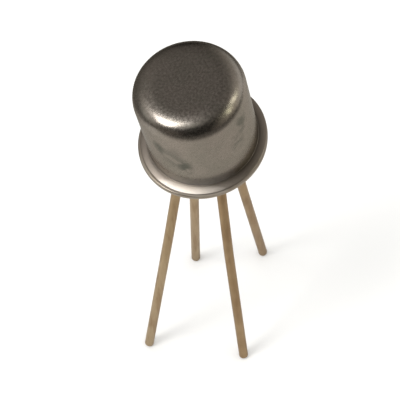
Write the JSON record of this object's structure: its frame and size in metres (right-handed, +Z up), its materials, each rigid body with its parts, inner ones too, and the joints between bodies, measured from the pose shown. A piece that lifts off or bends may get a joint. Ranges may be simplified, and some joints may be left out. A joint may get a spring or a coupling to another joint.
{
  "type": "dual-gate mosfet",
  "caption": "Small metal-can transistor: a round flanged can with thin spread wire leads, standing on the lead ends.",
  "frame": {"origin": "bottom centre of the whole part's box, on the surface that the four lead ends stand on", "axes": "+Z up, square to that surface; the can's own axis leans 6.9 degrees from it towards -X and -Y; lead 4 leaves the header on its +X side, lead 1 on its +Y side, and the tab lies between them"},
  "size_m": [0.0074, 0.0066, 0.0181],
  "materials": {
    "can_nickel": "dull drawn nickel, faintly grained",
    "header_plating": "dull plated alloy, slightly warm",
    "seal_glass": "dark sealing glass",
    "lead_gold": "matte gold flash on alloy wire, handled",
    "solder_preform": "gold alloy solder",
    "silicon": "polished silicon",
    "bond_gold": "bright gold wire"
  },
  "bodies": {
    "root": {"can": "can_nickel", "header_eyelet": "header_plating", "header_glass": "seal_glass", "lead_1_drain": "lead_gold", "lead_2_gate_2": "lead_gold", "lead_3_gate_1": "lead_gold", "lead_4_source": "lead_gold", "die_attach": "solder_preform", "die": "silicon", "bond_wire_drain": "bond_gold", "bond_wire_gate_2": "bond_gold", "bond_wire_gate_1": "bond_gold", "bond_wire_source": "bond_gold"}
  },
  "joints": []
}
